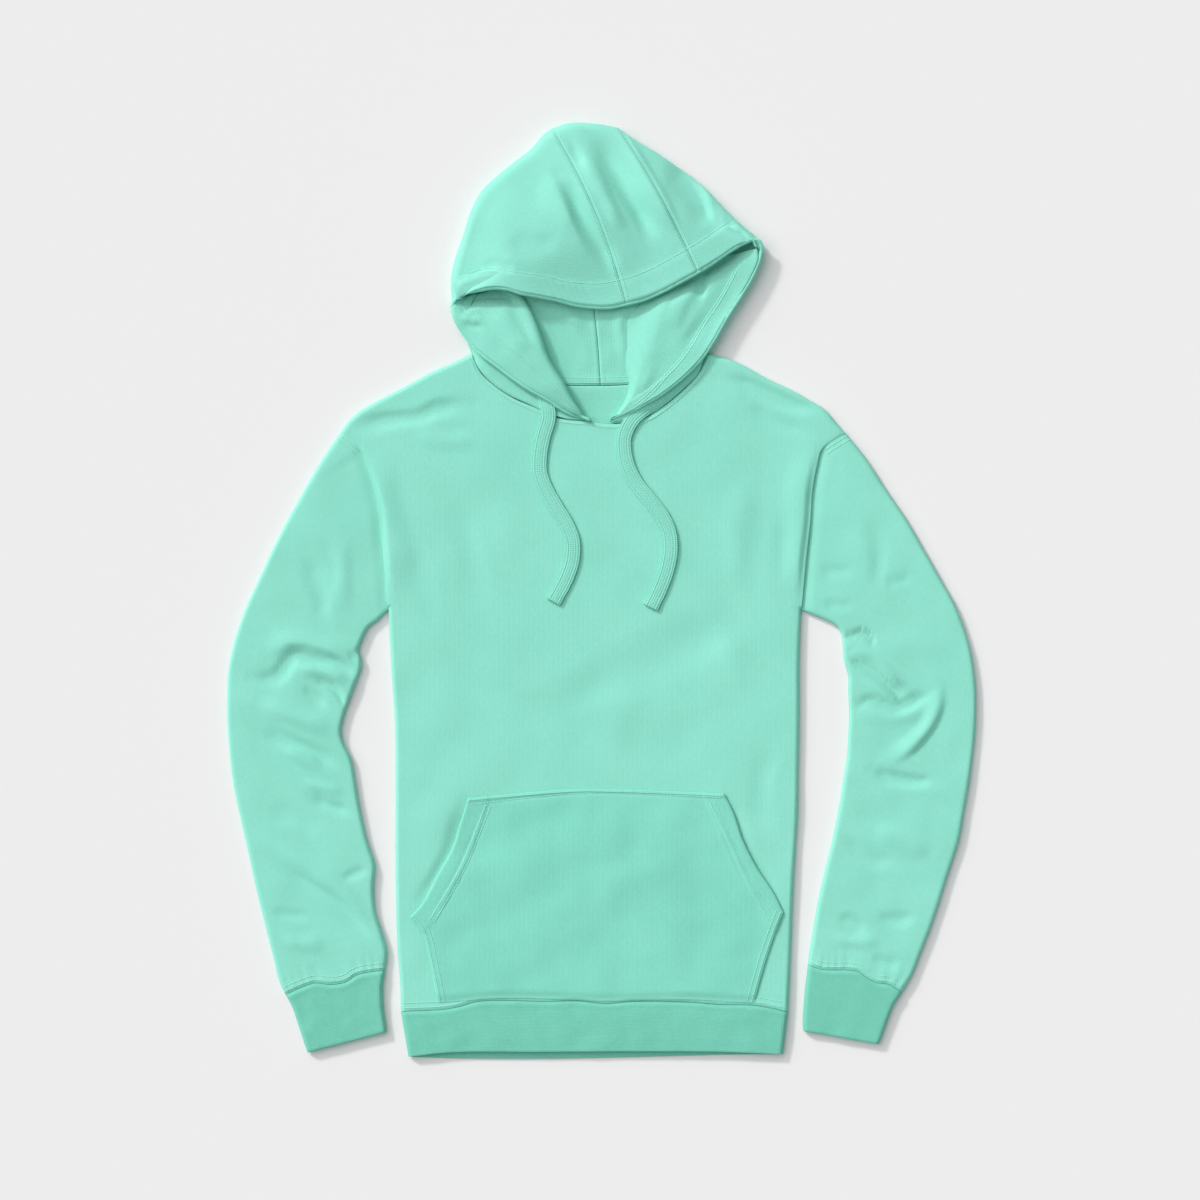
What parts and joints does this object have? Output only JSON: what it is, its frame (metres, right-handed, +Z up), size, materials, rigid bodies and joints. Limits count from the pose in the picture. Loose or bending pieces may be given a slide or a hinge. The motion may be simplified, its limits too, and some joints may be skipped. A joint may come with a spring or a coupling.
{
  "type": "pullover hoodie",
  "caption": "Pullover hoodie in fleece knit, laid flat on its back, with a lined hood rolled open at the front, a kangaroo pocket, flat drawcords and rib cuffs and waistband.",
  "frame": {"origin": "middle of the laid garment's outline, on the surface it lies on", "axes": "+Y up the garment from the waistband to the hood, +Z up from the surface, +X to the right as seen from above"},
  "size_m": [0.748, 0.9347, 0.0311],
  "materials": {
    "fleece": "matte mint green cotton fleece with a fine knit face",
    "rib": "matte mint green fine rib knit, a little deeper than the fleece",
    "cord": "matte mint green flat knitted drawcord"
  },
  "bodies": {
    "root": {"back_panel": "fleece", "front_panel": "fleece", "sleeve_left": "fleece", "sleeve_right": "fleece", "cuff_left": "rib", "cuff_right": "rib", "waistband": "rib", "pocket": "fleece", "hood_left_panel": "fleece", "hood_centre_panel": "fleece", "hood_right_panel": "fleece", "hood_lining_left": "fleece", "hood_lining_right": "fleece", "drawcord_left": "cord", "drawcord_right": "cord"}
  },
  "joints": []
}
